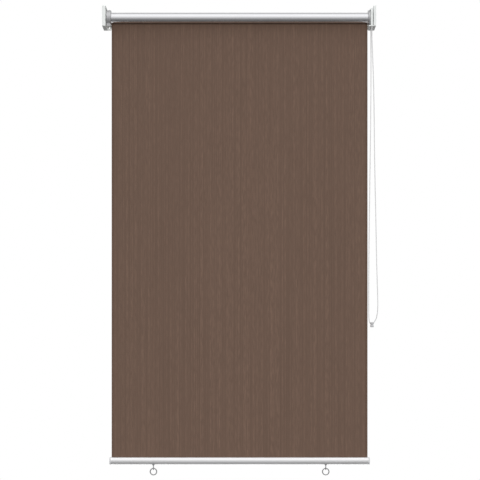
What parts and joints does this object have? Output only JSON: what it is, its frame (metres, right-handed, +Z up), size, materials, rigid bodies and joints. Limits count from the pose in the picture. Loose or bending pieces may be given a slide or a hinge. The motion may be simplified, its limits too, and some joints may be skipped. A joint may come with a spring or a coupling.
{
  "type": "outdoor roller blind",
  "caption": "Cord-operated outdoor roller blind: ribbed brown cloth on a silver tube between wall brackets, with an oval bottom bar and tie-down rings.",
  "frame": {"origin": "centre of the four wall screw holes, in the wall plane", "axes": "+X to the right seen from the room side, +Y into the wall, +Z up; the cloth hangs along -Z"},
  "size_m": [0.8015, 0.07, 1.3678],
  "materials": {
    "bracket_plastic": "pale grey moulded plastic",
    "guard_plastic": "pale grey moulded plastic",
    "collar_plastic": "mid grey moulded plastic",
    "pulley_plastic": "pale grey acetal",
    "bush_plastic": "natural nylon",
    "core_plastic": "dark glass-filled nylon",
    "key_plastic": "extruded strip",
    "weight_plastic": "grey moulded plastic",
    "cap_plastic": "grey moulded plastic",
    "tube_aluminium": "satin silver",
    "bar_aluminium": "satin silver",
    "ring_steel": "zinc-plated",
    "steel": "plain",
    "cord": "braided polyester",
    "cloth": "ribbed woven polyethylene, brown"
  },
  "bodies": {
    "frame": {"left_bracket": "bracket_plastic", "idle_bush": "bush_plastic", "right_bracket": "bracket_plastic", "cord_guard": "guard_plastic", "drive_core": "core_plastic", "core_washer": "steel", "core_screw": "steel", "cord_loop": "cord", "cord_weight": "weight_plastic", "fabric": "cloth"},
    "roller": {"roller_tube": "tube_aluminium", "cloth_key": "key_plastic", "idle_plug": "collar_plastic", "idle_plug_cap": "core_plastic", "idle_spring": "steel", "drive_hub": "collar_plastic", "cord_pulley": "pulley_plastic", "clutch_spring": "steel"},
    "idle_pin": {"idle_pin": "steel"},
    "bottom_bar": {"bottom_bar": "bar_aluminium", "left_bar_cap": "cap_plastic", "right_bar_cap": "cap_plastic", "hem_rod": "core_plastic", "left_eye": "ring_steel", "right_eye": "ring_steel", "eye_nuts": "steel"},
    "left_ring": {"left_ring": "ring_steel"},
    "right_ring": {"right_ring": "ring_steel"}
  },
  "joints": [
    {"name": "bar_lift", "type": "slide", "parent": "frame", "child": "bottom_bar", "axis": [0, 0, 1], "range_m": [0, 1.236], "deforming": ["fabric"]},
    {"name": "roller_turn", "type": "hinge", "parent": "frame", "child": "roller", "pos_m": [0, -0.045, 0.0015], "axis": [1, 0, 0], "range_deg": [0, 3960]},
    {"name": "pin_push", "type": "slide", "parent": "roller", "child": "idle_pin", "axis": [1, 0, 0], "range_m": [0, 0.008], "stiffness_N_per_m": 800, "springref_m": -0.01, "deforming": ["idle_spring"]},
    {"name": "left_ring_swing", "type": "hinge", "parent": "bottom_bar", "child": "left_ring", "pos_m": [-0.2515, -0.02915, -1.31175], "axis": [1, 0, 0], "range_deg": [-95, 95]},
    {"name": "right_ring_swing", "type": "hinge", "parent": "bottom_bar", "child": "right_ring", "pos_m": [0.2515, -0.02915, -1.31175], "axis": [1, 0, 0], "range_deg": [-95, 95]}
  ],
  "couplings": [
    {"joint": "roller_turn", "follows": "bar_lift", "rad_per_m": 55.918}
  ]
}
